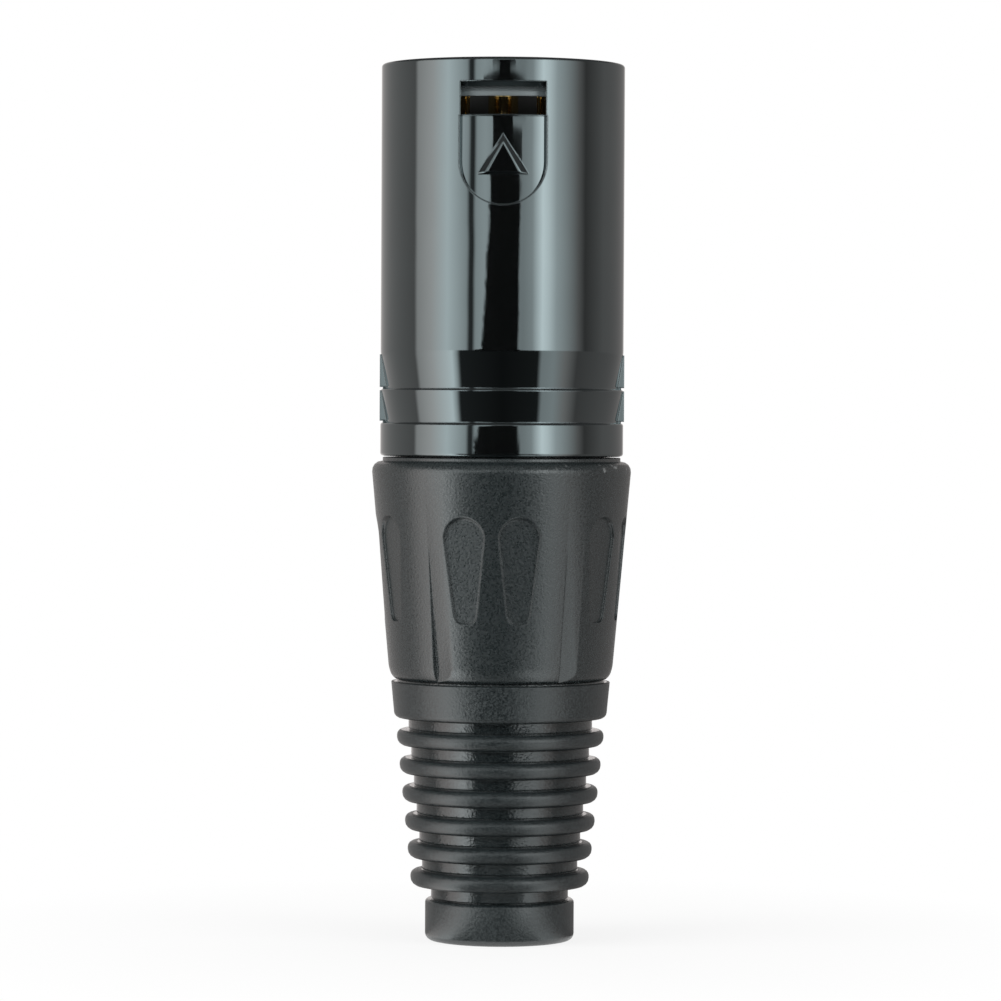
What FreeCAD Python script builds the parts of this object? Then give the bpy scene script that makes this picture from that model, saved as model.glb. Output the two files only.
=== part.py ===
import FreeCAD, Part
import os
import Sketcher

Vector = FreeCAD.Vector
Constraint = Sketcher.Constraint

# How many of each repeated feature
RIBS = 6
TEETH = 3
LOBES = 5
SLITS = 2

# Driving sizes in millimetres and degrees. The plug stands on its cable end, mouth up, latch window towards -Y.
SIZES = {
    # boot
    "cap_inset": 1.16,
    "cap_height": 3.10,
    "cap_chamfer": 0.35,
    "neck_depth": 0.46,
    "first_rib_height": 4.24,
    "rib_pitch": 2.20,
    "rib_thickness": 1.20,
    "first_rib_inset": 1.30,
    "rib_depth": 0.90,
    "rib_growth": 0.22,
    "collar_gap": 0.98,
    "collar_length": 2.85,
    "collar_taper": 0.27,
    "collar_step": 0.12,
    "collar_chamfer": 0.35,
    "cable_radius": 3.75,
    "cable_chamfer": 0.40,
    "sleeve_length": 3.95,
    "bead_height": 0.35,
    "bead_length": 0.90,
    "bead_setback": 1.20,
    # bushing
    "boot_gap": 0.20,
    "bushing_length": 17.03,
    "bushing_inset": 0.82,
    "shoulder_proud": 0.70,
    "bushing_round": 0.85,
    "foot_depth": 0.45,
    "foot_height": 0.97,
    "socket_wall": 2.03,
    "throat_play": 0.25,
    "throat_length": 1.80,
    "seat_ring_inset": 0.40,
    "seat_play": 0.10,
    "thread_wall": 1.15,
    "thread_height": 0.33,
    "nose_chamfer": 0.40,
    "lobe_turn": -4.5,
    "drop_spread": 26.0,
    "drop_radius": 1.68,
    "drop_foot_width": 1.75,
    "drop_corner": 0.55,
    "drop_top": 12.91,
    "drop_foot": 4.66,
    "drop_deep": 0.45,
    "drop_shallow": 0.24,
    "flute_length": 10.40,
    "flute_depth": 0.40,
    "flute_width": 1.00,
    # shell
    "shell_gap": 0.40,
    "shell_radius": 9.50,
    "rear_chamfer": 0.25,
    "collar_band_length": 2.60,
    "low_band_length": 2.63,
    "high_band_length": 2.74,
    "band_depth": 0.45,
    "band_break": 0.12,
    "band_groove": 0.14,
    "barrel_length": 22.58,
    "rim_chamfer": 0.25,
    "shell_wall": 1.45,
    "mouth_depth": 15.20,
    "ledge_width": 0.70,
    "ledge_thickness": 1.20,
    "rear_wall": 1.55,
    "keyway_depth": 0.37,
    "keyway_width": 2.20,
    "side_rib_width": 2.20,
    "side_rib_height": 0.05,
    "mouth_key_width": 1.60,
    "mouth_key_height": 0.55,
    "mouth_key_setback": 5.00,
    # latch window, thumb pad and triangle, measured down from the rim
    "window_width": 6.55,
    "ramp_drop": 1.79,
    "ramp_foot_drop": 2.50,
    "ramp_depth": 1.05,
    "window_land": 0.43,
    "sill_inner_drop": 4.35,
    "sill_drop": 4.75,
    "sill_land": 0.35,
    "pad_radius": 3.36,
    "pad_centre_drop": 7.92,
    "pad_depth": 0.35,
    "triangle_tip_drop": 6.95,
    "triangle_height": 2.00,
    "triangle_width": 2.86,
    "triangle_rise": 0.28,
    "triangle_root_depth": 0.27,
    "triangle_tip_bevel": 2.00,
    "triangle_side_bevel": 0.75,
    "triangle_foot_bevel": 0.40,
    # insert
    "flange_thickness": 2.00,
    "holder_inset": 1.75,
    "holder_length": 3.45,
    "barrier_length": 4.00,
    "barrier_inset": 0.80,
    "barrier_thickness": 0.80,
    # contacts
    "contact_radius": 1.20,
    "shank_radius": 1.40,
    "contact_circle": 3.81,
    "contact_recess": 1.60,
    "tip_radius": 0.50,
    "tip_length": 0.85,
    "tip_bulge": 0.18,
    "collar_radius": 1.60,
    "collar_seat": 3.00,
    "collar_thickness": 1.00,
    "cup_radius": 1.40,
    "cup_bore_radius": 1.00,
    "cup_length": 3.70,
    "cup_bore_depth": 3.30,
    "cup_window_length": 2.40,
    "cup_window_offset": 0.25,
    # ground spring
    "spring_thickness": 0.30,
    "spring_width": 2.40,
    "spring_foot": 1.00,
    "spring_rise": 2.10,
    # chuck
    "chuck_flange_thickness": 2.40,
    "nose_wall": 1.25,
    "chuck_wall": 0.75,
    "chuck_mouth_depth": 4.30,
    "funnel_length": 1.80,
    "finger_wall": 1.00,
    "tooth_height": 0.50,
    "tooth_pitch": 1.60,
    "tooth_setback": 0.80,
    "finger_gap": 0.70,
    "finger_length": 9.40,
    "finger_taper": 1.15,
    "slit_width": 0.90,
    "slit_length": 12.40,
    # clearances
    "seat_gap": 0.10,
    "press_play": 0.03,
    "fit_play": 0.05,
    "slide_play": 0.10,
    "thread_play": 0.07,
    "chuck_play": 0.20,
    "spring_play": 0.06,
    "thread_runout": 0.35,
    "overlap": 0.30,
}

# Levels and radii that follow from the sizes, each in the sheet under its own name
DERIVED = {
    # radii, from the shell's outside inwards
    "mouth_radius": "shell_radius - shell_wall",
    "ledge_radius": "mouth_radius - ledge_width",
    "rear_bore_radius": "shell_radius - rear_wall",
    "keyway_radius": "rear_bore_radius + keyway_depth",
    "thread_bore_radius": "shell_radius - thread_wall",
    "thread_core_radius": "thread_bore_radius - thread_play - thread_height",
    "nose_bore_radius": "thread_core_radius - nose_wall",
    "chuck_radius": "nose_bore_radius - chuck_play",
    "chuck_mouth_radius": "chuck_radius - chuck_wall",
    "finger_tip_radius": "chuck_radius - finger_taper",
    "grip_radius": "finger_tip_radius - finger_wall",
    "throat_radius": "grip_radius + throat_play",
    "bushing_high_radius": "shell_radius + shoulder_proud",
    "bushing_low_radius": "shell_radius - bushing_inset",
    "socket_radius": "bushing_low_radius - socket_wall",
    "sleeve_radius": "socket_radius - fit_play",
    "collar_high_radius": "bushing_low_radius - collar_step",
    "collar_low_radius": "collar_high_radius - collar_taper",
    "first_rib_radius": "collar_low_radius - first_rib_inset",
    "first_root_radius": "first_rib_radius - rib_depth",
    "cap_radius": "first_rib_radius - cap_inset",
    "neck_radius": "cap_radius - neck_depth",
    "holder_radius": "rear_bore_radius - holder_inset",
    "barrier_reach": "holder_radius - barrier_inset",
    # boot, from the end face up
    "cap_edge": "cap_height - cap_chamfer",
    "cap_edge_radius": "cap_radius - cap_chamfer",
    "cable_mouth_radius": "cable_radius + cable_chamfer",
    "ribs_top": f"first_rib_height + {RIBS - 1} * rib_pitch + rib_thickness",
    "collar_bottom": "ribs_top + collar_gap",
    "collar_edge": "collar_bottom + collar_chamfer",
    "collar_edge_radius": "collar_low_radius - collar_chamfer",
    "collar_top": "collar_bottom + collar_length",
    "sleeve_top": "collar_top + sleeve_length",
    "bead_bottom": "collar_top + bead_setback",
    "bead_peak": "bead_bottom + bead_length / 2",
    "bead_top": "bead_bottom + bead_length",
    "bead_radius": "sleeve_radius + bead_height",
    # bushing
    "throat_top": "sleeve_top + throat_length",
    "bushing_bottom": "collar_top + boot_gap",
    "bushing_top": "bushing_bottom + bushing_length",
    "bushing_growth": "(bushing_high_radius - bushing_low_radius) / bushing_length",
    "foot_radius": "bushing_low_radius - foot_depth",
    "foot_knee": "bushing_bottom + foot_height * 0.3",
    "foot_knee_radius": "bushing_low_radius - foot_depth * 0.25",
    "foot_top": "bushing_bottom + foot_height",
    "foot_top_radius": "bushing_low_radius + bushing_growth * foot_height",
    "socket_groove_radius": "bead_radius + fit_play",
    "seat_ring_radius": "shell_radius - seat_ring_inset",
    "seat_ring_top": "bushing_top + shell_gap - seat_play",
    # shell, from its rear end up
    "shell_rear": "bushing_top + shell_gap",
    "rear_edge": "shell_rear + rear_chamfer",
    "rear_edge_radius": "shell_radius - rear_chamfer",
    "low_step": "shell_rear + collar_band_length",
    "low_step_edge": "low_step - band_break",
    "low_groove_top": "low_step + band_groove",
    "high_step": "low_step + low_band_length",
    "high_step_edge": "high_step - band_break",
    "break_radius": "shell_radius - band_break",
    "high_groove_top": "high_step + band_groove",
    "band_root_radius": "shell_radius - band_depth",
    "band_top": "high_step + high_band_length",
    "rim": "band_top + barrel_length",
    "rim_edge": "rim - rim_chamfer",
    "rim_outer_radius": "shell_radius - rim_chamfer",
    "rim_inner_radius": "mouth_radius + rim_chamfer",
    "insert_face": "rim - mouth_depth",
    "ledge_bottom": "insert_face - ledge_thickness",
    "flange_bottom": "ledge_bottom - flange_thickness",
    "holder_rear": "flange_bottom - holder_length",
    "chuck_front": "holder_rear - seat_gap",
    "chuck_shoulder": "chuck_front - chuck_flange_thickness",
    "nose_end": "chuck_shoulder - seat_gap",
    "nose_edge": "nose_end - nose_chamfer",
    "nose_edge_radius": "thread_core_radius - nose_chamfer",
    "thread_bore_end": "nose_end + thread_runout",
    "thread_entry": "shell_rear + rear_chamfer",
    "thread_entry_radius": "thread_bore_radius + rear_chamfer",
    "rib_inner_radius": "band_root_radius - overlap",
    "rib_outer_radius": "shell_radius + side_rib_height",
    "low_rib_bottom": "low_step + band_break",
    "high_rib_bottom": "high_step + band_break",
    "mouth_key_inner": "mouth_radius - mouth_key_height",
    "mouth_key_outer": "mouth_radius + overlap",
    "mouth_key_top": "rim - mouth_key_setback",
    "mouth_key_bottom": "insert_face - overlap",
    "keyway_inner": "rear_bore_radius - overlap",
    "keyway_bottom": "thread_bore_end - overlap",
    # latch window
    "ramp_slope": "(ramp_foot_drop - ramp_drop) / ramp_depth",
    "window_outer": "shell_radius + 1",
    "window_inner": "mouth_radius - 1.2",
    "ramp_outer": "rim - ramp_drop + ramp_slope * (window_outer - shell_radius)",
    "ramp_foot": "rim - ramp_foot_drop",
    "land_radius": "shell_radius - ramp_depth",
    "window_top": "ramp_foot - window_land",
    "sill_inner": "rim - sill_inner_drop",
    "sill": "rim - sill_drop",
    "sill_knee": "shell_radius - sill_land",
    "pad_floor_radius": "shell_radius - pad_depth",
    "pad_centre": "rim - pad_centre_drop",
    "triangle_top_radius": "pad_floor_radius + triangle_rise",
    "triangle_root": "pad_floor_radius - triangle_root_depth",
    "triangle_half_width": "triangle_width / 2",
    "triangle_root_half_width": "triangle_half_width + triangle_side_bevel",
    "triangle_tip": "rim - triangle_tip_drop",
    "triangle_root_tip": "triangle_tip + triangle_tip_bevel",
    "triangle_foot": "triangle_tip - triangle_height",
    "triangle_root_foot": "triangle_foot - triangle_foot_bevel",
    # insert and contacts
    "boss_radius": "ledge_radius - slide_play",
    "flange_radius": "rear_bore_radius - slide_play",
    "lug_width": "keyway_width - 2 * slide_play",
    "lug_inner": "flange_radius - overlap",
    "lug_radius": "keyway_radius - slide_play",
    "barrier_end": "holder_rear - barrier_length",
    "barrier_half": "barrier_thickness / 2",
    "barrier_height": "barrier_length + overlap",
    "contact_hole_radius": "shank_radius + press_play",
    "collar_hole_radius": "collar_radius + press_play",
    "contact_tip": "rim - contact_recess",
    "tip_shoulder": "contact_tip - tip_length",
    "tip_knee": "contact_tip - tip_length * 0.3",
    "tip_knee_radius": "contact_radius * 0.5 + tip_radius * 0.5 + tip_bulge",
    "collar_top_level": "holder_rear + collar_seat",
    "collar_foot_level": "collar_top_level - collar_thickness",
    "contact_tail": "holder_rear - cup_length",
    "cup_floor": "contact_tail + cup_bore_depth",
    "cup_window_top": "contact_tail + cup_window_length",
    "cup_window_bottom": "contact_tail - overlap",
    "cup_window_outer": "cup_radius + overlap",
    "cup_window_width": "2 * cup_window_outer",
    # ground spring, as distances from the axis and levels
    "spring_seat": "holder_radius + spring_play",
    "spring_seat_face": "spring_seat + spring_thickness",
    "spring_bend": "spring_seat + spring_foot",
    "spring_bend_face": "spring_bend - spring_thickness",
    "spring_tip": "sqrt((rear_bore_radius - spring_play)^2 - (spring_width / 2)^2)",
    "spring_tip_face": "spring_tip - spring_thickness",
    "spring_top": "flange_bottom - seat_gap",
    "spring_bottom": "holder_rear + seat_gap",
    "spring_bottom_face": "spring_bottom + spring_thickness",
    "spring_tip_level": "spring_bottom + spring_rise",
    # chuck
    "chuck_flange_radius": "rear_bore_radius - chuck_play",
    "chuck_lug_inner": "chuck_flange_radius - overlap",
    "chuck_mouth_floor": "chuck_front - chuck_mouth_depth",
    "funnel_bottom": "chuck_mouth_floor - funnel_length",
    "chuck_rear": "throat_top + finger_gap",
    "finger_shoulder": "chuck_rear + finger_length",
    "tooth_radius": "grip_radius - tooth_height",
    "slit_top": "chuck_rear + slit_length",
    "slit_bottom": "chuck_rear - overlap",
    "slit_reach": "chuck_radius + overlap",
    # bushing bore, round the chuck's fingers
    "cone_low_radius": "finger_tip_radius + chuck_play",
    # drop-shaped recesses and flutes
    "drop_floor_radius": "bushing_low_radius + bushing_growth * drop_foot - drop_shallow",
    "drop_floor_high": "bushing_low_radius + bushing_growth * drop_top - drop_deep",
    "drop_height": "drop_top - drop_foot",
    "drop_foot_half": "drop_foot_width / 2",
    "drop_corner_half": "drop_foot_half - drop_corner * 0.7",
    "drop_centre": "drop_height - drop_radius",
    "flute_root": "bushing_low_radius - flute_depth",
    "flute_end_radius": "bushing_low_radius + bushing_growth * flute_length",
    "flute_outer": "flute_root + 2 * flute_depth",
    "flute_outer_half": "flute_width",
    "flute_cut_length": "flute_length * 1.02",
}
for rib in range(RIBS):
    DERIVED[f"rib_{rib}_bottom"] = f"first_rib_height + {rib} * rib_pitch"
    DERIVED[f"rib_{rib}_top"] = f"rib_{rib}_bottom + rib_thickness"
    DERIVED[f"rib_{rib}_radius"] = f"first_rib_radius + {rib} * rib_growth"
    DERIVED[f"root_{rib}_radius"] = f"first_root_radius + {rib} * rib_growth"
for tooth in range(TEETH):
    DERIVED[f"tooth_{tooth}_foot"] = f"chuck_rear + tooth_setback + {tooth} * tooth_pitch"
    DERIVED[f"tooth_{tooth}_tip"] = f"tooth_{tooth}_foot + tooth_pitch / 2"
    DERIVED[f"tooth_{tooth}_head"] = f"tooth_{tooth}_foot + tooth_pitch * 0.8"

document = FreeCAD.newDocument("cable_plug")
sheet = document.addObject("Spreadsheet::Sheet", "sizes")


def fill_sheet():
    """One row for each size and each derived value: its name in column A, its cell in column B."""
    rows = [(name, str(number)) for name, number in SIZES.items()]
    rows += [(name, "=" + formula) for name, formula in DERIVED.items()]
    for row, (name, content) in enumerate(rows, 1):
        sheet.set(f"A{row}", name)
        sheet.set(f"B{row}", content)
        sheet.setAlias(f"B{row}", name)
    document.recompute()


def value(cell):
    """The number in a named cell, negative where the name has a minus sign, and 0 for the axis."""
    if cell == "0":
        return 0.0
    return -float(sheet.get(cell[1:])) if cell.startswith("-") else float(sheet.get(cell))


def bound(cell):
    """The expression that ties a property to a named cell."""
    if cell == "0":
        return "0 mm"
    return f"-sizes.{cell[1:]} * 1 mm" if cell.startswith("-") else f"sizes.{cell} * 1 mm"


def origin_part(body, role):
    """The body's own origin plane or axis of that role."""
    return next(part for part in body.Origin.OriginFeatures if part.Role == role)


def new_sketch(body, name, role, level=None, placement=None):
    """An empty sketch on an origin plane, moved along its normal to a level or put by a placement formula."""
    sketch = body.newObject("Sketcher::SketchObject", name)
    sketch.AttachmentSupport = [(origin_part(body, role), "")]
    sketch.MapMode = "FlatFace"
    if level:
        sketch.setExpression("AttachmentOffset.Base.z", bound(level))
    if placement:
        sketch.setExpression("AttachmentOffset", placement)
    return sketch


def hold(sketch, kind, place, cell, first=(-1, 1)):
    """A dimension from the sketch's origin to a point, tied to a cell."""
    number = sketch.addConstraint(Constraint(kind, *first, *place, value(cell)))
    sketch.setExpression(f"Constraints[{number}]", bound(cell))


def outline(body, name, role, corners, **where):
    """A closed sketch of straight edges through corners, each a pair of cell names."""
    sketch = new_sketch(body, name, role, **where)
    points = [Vector(value(across), value(up), 0) for across, up in corners]
    count = len(points)
    for index, point in enumerate(points):
        sketch.addGeometry(Part.LineSegment(point, points[(index + 1) % count]))
    for index in range(count):
        sketch.addConstraint(Constraint("Coincident", index, 2, (index + 1) % count, 1))
    for index, (across, up) in enumerate(corners):
        hold(sketch, "DistanceX", (index, 1), across)
        hold(sketch, "DistanceY", (index, 1), up)
    return sketch


def rectangle(body, name, role, left, right, low, high, **where):
    """A closed rectangular sketch between four cells."""
    corners = [(left, low), (right, low), (right, high), (left, high)]
    return outline(body, name, role, corners, **where)


def rings(body, name, centres, radius, level):
    """A sketch of equal circles about centres given as pairs of cells, at a level above the base plane."""
    sketch = new_sketch(body, name, "XY_Plane", level=level)
    for across, up in centres:
        centre = Vector(value(across), value(up), 0)
        circle = sketch.addGeometry(Part.Circle(centre, Vector(0, 0, 1), value(radius)))
        hold(sketch, "DistanceX", (circle, 3), across)
        hold(sketch, "DistanceY", (circle, 3), up)
        number = sketch.addConstraint(Constraint("Radius", circle, value(radius)))
        sketch.setExpression(f"Constraints[{number}]", bound(radius))
    return sketch


def turned(body, name, corners):
    """A solid of revolution about the plug's axis from a closed half section."""
    sketch = outline(body, name + "_section", "XZ_Plane", corners)
    feature = body.newObject("PartDesign::Revolution", name)
    feature.Profile = sketch
    feature.ReferenceAxis = (sketch, ["V_Axis"])
    feature.Angle = 360
    return feature


def sector(body, name, role, width, left, right, low, high, removed=False):
    """A short stretch of ring about the axis, as wide as a cell says at its outer side, added or removed."""
    sketch = rectangle(body, name + "_section", role, left, right, low, high)
    feature = body.newObject("PartDesign::Groove" if removed else "PartDesign::Revolution", name)
    feature.Profile = sketch
    feature.ReferenceAxis = (sketch, ["V_Axis"])
    feature.setExpression("Angle", f"sizes.{width} / sizes.{right} * 1 rad")
    feature.Midplane = True
    return feature


def extruded(body, name, sketch, length, removed=False, sides="One side", backwards=False):
    """A pad or pocket of a sketch, with its length in a cell."""
    feature = body.newObject("PartDesign::Pocket" if removed else "PartDesign::Pad", name)
    feature.Profile = sketch
    feature.SideType = sides
    feature.Reversed = backwards
    feature.setExpression("Length", bound(length))
    return feature


def around(body, name, features, count, angle=360):
    """Equal copies of features about the plug's axis."""
    pattern = body.newObject("PartDesign::PolarPattern", name)
    pattern.Originals = features
    pattern.Axis = (origin_part(body, "Z_Axis"), [""])
    pattern.Angle = angle
    pattern.Occurrences = count
    body.Tip = pattern
    return pattern


def new_body(name):
    """An empty body under the node's name."""
    body = document.addObject("PartDesign::Body", name)
    body.Label = name
    return body


def boot():
    """Soft cable boot: end cap, tapering ribs and collar, with a beaded sleeve that snaps into the bushing."""
    body = new_body("boot")
    corners = [
        ("cable_mouth_radius", "0"),
        ("cap_edge_radius", "0"),
        ("cap_radius", "cap_chamfer"),
        ("cap_radius", "cap_edge"),
        ("cap_edge_radius", "cap_height"),
        ("neck_radius", "cap_height"),
        ("neck_radius", "rib_0_bottom"),
    ]
    for rib in range(RIBS):
        corners.append((f"rib_{rib}_radius", f"rib_{rib}_bottom"))
        corners.append((f"rib_{rib}_radius", f"rib_{rib}_top"))
        corners.append((f"root_{rib}_radius", f"rib_{rib}_top"))
        above = f"rib_{rib + 1}_bottom" if rib + 1 < RIBS else "collar_bottom"
        corners.append((f"root_{rib}_radius", above))
    corners += [
        ("collar_edge_radius", "collar_bottom"),
        ("collar_low_radius", "collar_edge"),
        ("collar_high_radius", "collar_top"),
        ("sleeve_radius", "collar_top"),
        ("sleeve_radius", "bead_bottom"),
        ("bead_radius", "bead_peak"),
        ("sleeve_radius", "bead_top"),
        ("sleeve_radius", "sleeve_top"),
        ("cable_radius", "sleeve_top"),
        ("cable_radius", "cable_chamfer"),
    ]
    turned(body, "boot_form", corners)
    return body


def drop_recess(body):
    """One drop-shaped recess, cut outwards from its own flat floor, beside the middle of its lobe."""
    turn = "placement(vector(0; 0; 0); rotation(vector(0; 1; 0); sizes.drop_spread / 2))"
    rise = "sizes.drop_floor_high - sizes.drop_floor_radius"
    tilt = f"atan(({rise}) / sizes.drop_height)"
    seat = "vector(0; sizes.bushing_bottom + sizes.drop_foot; sizes.drop_floor_radius)"
    lean = f"placement({seat}; rotation(vector(1; 0; 0); {tilt}))"
    sketch = new_sketch(body, "drop_outline", "XZ_Plane", placement=f"{turn} * {lean}")
    radius = value("drop_radius")
    centre = Vector(0, value("drop_centre"), 0)
    feet = [
        ("-drop_foot_half", "drop_corner"),
        ("-drop_corner_half", "0"),
        ("drop_corner_half", "0"),
        ("drop_foot_half", "drop_corner"),
    ]
    points = [Vector(value(across), value(up), 0) for across, up in feet]
    left = Vector(-radius, centre.y, 0)
    right = Vector(radius, centre.y, 0)
    top = Vector(0, centre.y + radius, 0)
    sketch.addGeometry(Part.Arc(right, top, left))
    for start, end in zip([left] + points, points + [right]):
        sketch.addGeometry(Part.LineSegment(start, end))
    for index in range(1, 5):
        sketch.addConstraint(Constraint("Coincident", index, 2, index + 1, 1))
    sketch.addConstraint(Constraint("Tangent", 0, 2, 1, 1))
    sketch.addConstraint(Constraint("Tangent", 5, 2, 0, 1))
    sketch.addConstraint(Constraint("PointOnObject", 0, 3, -2))
    hold(sketch, "DistanceY", (0, 3), "drop_centre")
    number = sketch.addConstraint(Constraint("Radius", 0, radius))
    sketch.setExpression(f"Constraints[{number}]", bound("drop_radius"))
    for index, (across, up) in enumerate(feet):
        hold(sketch, "DistanceX", (index + 1, 2), across)
        hold(sketch, "DistanceY", (index + 1, 2), up)
    return extruded(body, "drop_recess", sketch, "drop_radius", removed=True, backwards=True)


def flute(body):
    """One V flute that runs out of the foot and fades towards the top, half way between two lobes."""
    tilt = "atan((sizes.flute_end_radius - sizes.flute_root) / sizes.flute_length)"
    turn = f"placement(vector(0; 0; 0); rotation(vector(0; 0; 1); 180 / {LOBES}))"
    seat = "vector(0; -1 * sizes.flute_root; sizes.bushing_bottom)"
    lean = f"placement({seat}; rotation(vector(1; 0; 0); {tilt}))"
    sketch = new_sketch(body, "flute_section", "XY_Plane", placement=f"{turn} * {lean}")
    half = value("flute_width")
    deep = 2 * value("flute_depth")
    points = [Vector(0, 0, 0), Vector(half, -deep, 0), Vector(-half, -deep, 0)]
    for index, point in enumerate(points):
        sketch.addGeometry(Part.LineSegment(point, points[(index + 1) % 3]))
    for index in range(3):
        sketch.addConstraint(Constraint("Coincident", index, 2, (index + 1) % 3, 1))
    sketch.addConstraint(Constraint("Coincident", 0, 1, -1, 1))
    for place, sign in (((1, 1), ""), ((2, 1), "-")):
        number = sketch.addConstraint(Constraint("DistanceX", -1, 1, *place, float(sign + "1") * half))
        sketch.setExpression(f"Constraints[{number}]", bound(sign + "flute_width"))
        number = sketch.addConstraint(Constraint("DistanceY", -1, 1, *place, -deep))
        sketch.setExpression(f"Constraints[{number}]", "-2 * sizes.flute_depth * 1 mm")
    return extruded(body, "flute", sketch, "flute_cut_length", removed=True, backwards=True)


def bushing():
    """Screw bushing: tapered grip with lobes, a threaded nose, a cone that closes the chuck and the boot's socket."""
    body = new_body("bushing")
    corners = [
        ("foot_radius", "bushing_bottom"),
        ("foot_knee_radius", "foot_knee"),
        ("foot_top_radius", "foot_top"),
        ("bushing_high_radius", "bushing_top"),
        ("seat_ring_radius", "bushing_top"),
        ("seat_ring_radius", "seat_ring_top"),
        ("thread_core_radius", "seat_ring_top"),
        ("thread_core_radius", "nose_edge"),
        ("nose_edge_radius", "nose_end"),
        ("nose_bore_radius", "nose_end"),
        ("nose_bore_radius", "finger_shoulder"),
        ("cone_low_radius", "throat_top"),
        ("throat_radius", "throat_top"),
        ("throat_radius", "sleeve_top"),
        ("socket_radius", "sleeve_top"),
        ("socket_radius", "bead_top"),
        ("socket_groove_radius", "bead_peak"),
        ("socket_radius", "bead_bottom"),
        ("socket_radius", "bushing_bottom"),
    ]
    blank = turned(body, "bushing_form", corners)
    document.recompute()
    high, wide = value("bushing_top"), value("bushing_high_radius")
    shoulder = [
        f"Edge{number}"
        for number, edge in enumerate(blank.Shape.Edges, 1)
        if abs(edge.BoundBox.ZMin - high) < 1e-6
        and abs(edge.BoundBox.ZMax - high) < 1e-6
        and abs(edge.BoundBox.XMax - wide) < 1e-3
    ]
    rounded = body.newObject("PartDesign::Fillet", "shoulder_round")
    rounded.Base = (blank, shoulder)
    rounded.setExpression("Radius", bound("bushing_round"))
    recess = drop_recess(body)
    grip = body.newObject("PartDesign::MultiTransform", "drop_recesses")
    grip.Originals = [recess]
    pair = body.newObject("PartDesign::Mirrored", "drop_pair")
    pair.MirrorPlane = (origin_part(body, "YZ_Plane"), [""])
    ring = body.newObject("PartDesign::PolarPattern", "drop_ring")
    ring.Axis = (origin_part(body, "Z_Axis"), [""])
    ring.Angle = 360
    ring.Occurrences = LOBES
    grip.Transformations = [pair, ring]
    body.Tip = grip
    document.recompute()
    around(body, "flutes", [flute(body)], LOBES)
    body.setExpression("Placement", "placement(vector(0; 0; 0); rotation(vector(0; 0; 1); sizes.lobe_turn))")
    return body


def thumb_pad():
    """The volume of the shallow recess below the window: a U outline, as deep as the pad, with the shell's own curve."""
    box = document.addObject("Part::Box", "pad_straight")
    box.setExpression("Length", "2 * sizes.pad_radius * 1 mm")
    box.setExpression("Width", bound("window_outer"))
    box.setExpression("Height", "(sizes.sill - sizes.pad_centre + sizes.overlap) * 1 mm")
    box.setExpression("Placement.Base.x", bound("-pad_radius"))
    box.setExpression("Placement.Base.y", bound("-window_outer"))
    box.setExpression("Placement.Base.z", bound("pad_centre"))
    end = document.addObject("Part::Cylinder", "pad_round")
    end.setExpression("Radius", bound("pad_radius"))
    end.setExpression("Height", bound("window_outer"))
    end.Placement = FreeCAD.Placement(Vector(0, 0, 0), FreeCAD.Rotation(Vector(1, 0, 0), 90))
    end.setExpression("Placement.Base.z", bound("pad_centre"))
    outer = document.addObject("Part::Fuse", "pad_outline")
    outer.Base = box
    outer.Tool = end
    core = document.addObject("Part::Cylinder", "pad_floor")
    core.setExpression("Radius", bound("pad_floor_radius"))
    core.setExpression("Height", bound("rim"))
    pad = document.addObject("Part::Cut", "thumb_pad")
    pad.Base = outer
    pad.Tool = core
    return pad


def triangle():
    """The raised alignment triangle in the pad, with bevelled sides and a top that follows the shell's curve."""
    body = document.addObject("PartDesign::Body", "triangle_body")
    sections = []
    for name, level in (("triangle_root", "triangle_root"), ("triangle", "triangle_top_radius")):
        corners = [
            (f"-{name}_half_width", f"{name}_foot"),
            (f"{name}_half_width", f"{name}_foot"),
            ("0", f"{name}_tip"),
        ]
        sections.append(outline(body, name + "_outline", "XZ_Plane", corners, level=level))
    raised = body.newObject("PartDesign::AdditiveLoft", "triangle_block")
    raised.Profile = sections[0]
    raised.Sections = [(sections[1], [""])]
    raised.Ruled = True
    limit = document.addObject("Part::Cylinder", "triangle_top")
    limit.setExpression("Radius", bound("triangle_top_radius"))
    limit.setExpression("Height", bound("rim"))
    cut = document.addObject("Part::Common", "triangle")
    cut.Base = body
    cut.Tool = limit
    return cut


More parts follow.
